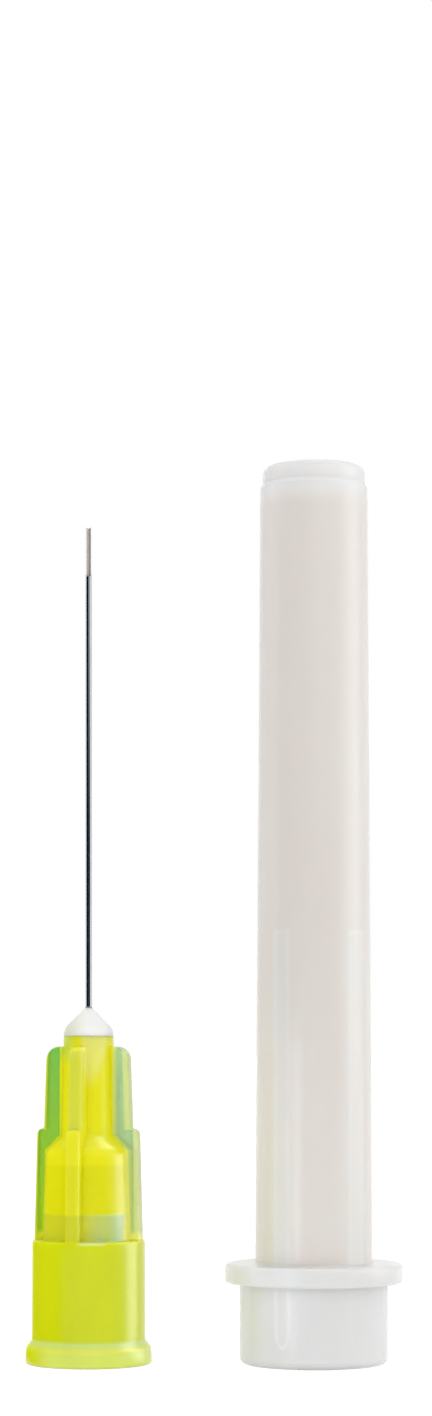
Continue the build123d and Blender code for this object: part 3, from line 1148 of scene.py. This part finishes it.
def reflected_card(name, middle, width, height, towards, tint, strength=1.0, soft=0.0, rise=0.0, near=0.0):
    """A card that only reflections see, and only from its front.

    soft is the share of its width over which it fades at its sides, rise the share of its height over
    which it grows from its foot, and near, where given, the distance within which it is reflected.
    """
    card = flat_panel(name, middle, width, height, towards)
    material = bpy.data.materials.new("studio_" + name)
    tree = bare(material)
    front = node(tree, "ShaderNodeEmission", {"Color": (*tint, 1), "Strength": strength}).outputs[0]
    back = node(tree, "ShaderNodeBsdfTransparent").outputs[0]
    shown = less(tree, 1.0, node(tree, "ShaderNodeNewGeometry").outputs["Backfacing"])
    place = node(tree, "ShaderNodeTexCoord").outputs["UV"]
    across, up = node(tree, "ShaderNodeSeparateXYZ", {"Vector": place}).outputs[:2]
    if soft:
        shown = product(tree, shown, between(tree, across, soft / 2, 1 - soft / 2, soft))
    if rise:
        shown = product(tree, shown, step(tree, up, 0.0, rise))
    if near:
        distance = node(tree, "ShaderNodeLightPath").outputs["Ray Length"]
        shown = product(tree, shown, calculate(tree, "LESS_THAN", distance, near))
    sided = node(tree, "ShaderNodeMixShader", {0: shown, 1: back, 2: front})
    node(tree, "ShaderNodeOutputMaterial", {"Surface": sided.outputs[0]})
    card.data.materials.append(material)
    for ray in ("camera", "diffuse", "transmission", "volume_scatter", "shadow"):
        setattr(card, "visible_" + ray, False)


def soft_light(name, place, towards, width, height, power, tint, spread=np.pi, unseen=()):
    """A rectangular area light that faces a point; the camera and the unseen kinds of ray miss it."""
    light = bpy.data.lights.new(name, "AREA")
    light.shape = "RECTANGLE"
    light.size = width
    light.size_y = height
    light.energy = power
    light.color = tint
    light.spread = spread
    lamp = bpy.data.objects.new(name, light)
    lamp.location = place
    aim = Vector(towards) - Vector(place)
    lamp.rotation_euler = aim.to_track_quat("-Z", "Y").to_euler()
    for ray in ("camera", *unseen):
        setattr(lamp, "visible_" + ray, False)
    bpy.context.scene.collection.objects.link(lamp)


def white_sky(strength):
    """White surroundings, a little brighter on the +X side, and plain white where they are seen."""
    world = bpy.data.worlds.new("studio_sky")
    tree = bare(world)
    direction = node(tree, "ShaderNodeTexCoord").outputs["Generated"]
    side = node(tree, "ShaderNodeSeparateXYZ", {"Vector": direction}).outputs["X"]
    light = scaled(tree, side, 0.02, strength)
    inputs = {"Value": seen_rays(tree), "To Min": light, "To Max": 1.0}
    shown = node(tree, "ShaderNodeMapRange", inputs).outputs["Result"]
    sky = node(tree, "ShaderNodeBackground", {"Color": grey(1.0), "Strength": shown})
    node(tree, "ShaderNodeOutputWorld", {"Surface": sky.outputs[0]})
    return world


class NEEDLE_OT_studio(bpy.types.Operator):
    """Makes the white studio, its lights and the camera"""

    bl_idname = "needle.studio"
    bl_label = "Make studio"

    def execute(self, context):
        studio = context.scene.needle_studio
        scene = context.scene
        middle = ((CAD_BOX[0].x + CAD_BOX[1].x) / 2, 0.0, CAD_BOX[1].z / 2)
        white = (1, 1, 1)
        yellow = (0.7, 0.7, 0.03)

        floor = flat_panel("studio_floor", (0, 0, 0), 6.0, 6.0, (0, 1e-6, 1))
        floor.data.materials.append(white_floor())

        reflected_card("dark_card", (-0.17, -0.202, 0.06), 0.44, 0.5, middle, (0.0, 0.01, 0.02))
        reflected_card("grey_card", (0.117, -0.221, 0.06), 0.27, 0.5, middle, (0.03, 0.04, 0.045))
        reflected_card("bright_card", (0.22, -0.02, 0.06), 0.14, 0.5, middle, white, 1.65)
        place = (0.109, -0.205, 0.18)
        reflected_card("pale_card", place, 0.27, 0.27, (0.0015, 0.016, 0.1476), (0.55, 0.54, 0.51), rise=0.16)
        place = (-0.0065, 0, 0.0092)
        reflected_card("left_card", place, 0.019, 0.0214, (0, 0, 0.0092), yellow, soft=0.25, near=0.0125)
        place = (0.0062, -0.0015, 0.0072)
        reflected_card("gap_card", place, 0.0044, 0.014, (0, -0.0015, 0.0072), white, 4.7, soft=0.35)

        key_tint = (0.97, 1, 1)
        fill_tint = (1, 0.98, 0.97)
        gap_tint = (0.78, 0.86, 1)
        narrow = np.radians(60)
        soft_light("key_light", (0.2, 0, 0.07), middle, 0.12, 0.22, studio.key_power, key_tint)
        place = (0.02, -0.24, 0.12)
        soft_light("fill_light", place, middle, 0.2, 0.2, studio.fill_power, fill_tint, unseen=("glossy",))
        place = (0.0052, -0.012, 0.01)
        soft_light("gap_light", place, (0.0115, 0, 0.01), 0.006, 0.02, 0.00007, gap_tint, narrow)
        place = (0.0045, 0, 0.0205)
        body_top = (0.0012, -0.0018, 0.0137)
        unseen = ("diffuse", "transmission")
        soft_light("top_light", place, body_top, 0.0055, 0.0055, 0.00005, white, narrow, unseen)

        camera = bpy.data.objects.new("camera", bpy.data.cameras.new("camera"))
        camera.location = (studio.camera_side, -studio.camera_distance, studio.camera_height)
        camera.rotation_euler = (np.pi / 2, 0, 0)
        camera.data.sensor_width = 36.0
        camera.data.lens = camera.data.sensor_width * studio.camera_distance / studio.view_height
        camera.data.shift_y = studio.view_rise
        camera.data.clip_start = 10 * MM
        camera.data.clip_end = 20.0
        scene.collection.objects.link(camera)
        scene.camera = camera
        scene.world = white_sky(studio.sky_strength)
        scene.view_settings.view_transform = "Standard"
        return {"FINISHED"}


class NEEDLE_PT_panel(bpy.types.Panel):
    """Lists the steps that make the needle, its cap and the studio"""

    bl_idname = "NEEDLE_PT_panel"
    bl_label = "Irrigation needle"
    bl_space_type = "VIEW_3D"
    bl_region_type = "UI"
    bl_category = "Needle"

    def draw(self, context):
        for operator, group in STEPS:
            box = self.layout.box()
            box.operator(operator.bl_idname)
            settings = getattr(context.scene, group)
            for name in settings.bl_rna.properties.keys():
                if name not in ("rna_type", "name"):
                    box.prop(settings, name)


STEPS = (
    (NEEDLE_OT_hub, "needle_hub"),
    (NEEDLE_OT_cannula, "needle_cannula"),
    (NEEDLE_OT_adhesive, "needle_adhesive"),
    (NEEDLE_OT_cap, "needle_cap"),
    (NEEDLE_OT_studio, "needle_studio"),
)
GROUPS = {
    "needle_hub": HubSettings,
    "needle_cannula": CannulaSettings,
    "needle_adhesive": AdhesiveSettings,
    "needle_cap": CapSettings,
    "needle_studio": StudioSettings,
}
CLASSES = (*GROUPS.values(), *(operator for operator, group in STEPS), NEEDLE_PT_panel)


def register():
    """Registers the classes and hangs each group of settings on the scene."""
    for cls in CLASSES:
        bpy.utils.register_class(cls)
    for name, group in GROUPS.items():
        setattr(bpy.types.Scene, name, PointerProperty(type=group))


def unregister():
    """Takes the settings and the classes away again."""
    for name in GROUPS:
        delattr(bpy.types.Scene, name)
    for cls in reversed(CLASSES):
        bpy.utils.unregister_class(cls)


def main():
    """Makes every piece and the studio."""
    register()
    bpy.ops.needle.hub()
    bpy.ops.needle.cannula()
    bpy.ops.needle.adhesive()
    bpy.ops.needle.cap()
    bpy.ops.needle.studio()


if __name__ == "__main__":
    main()
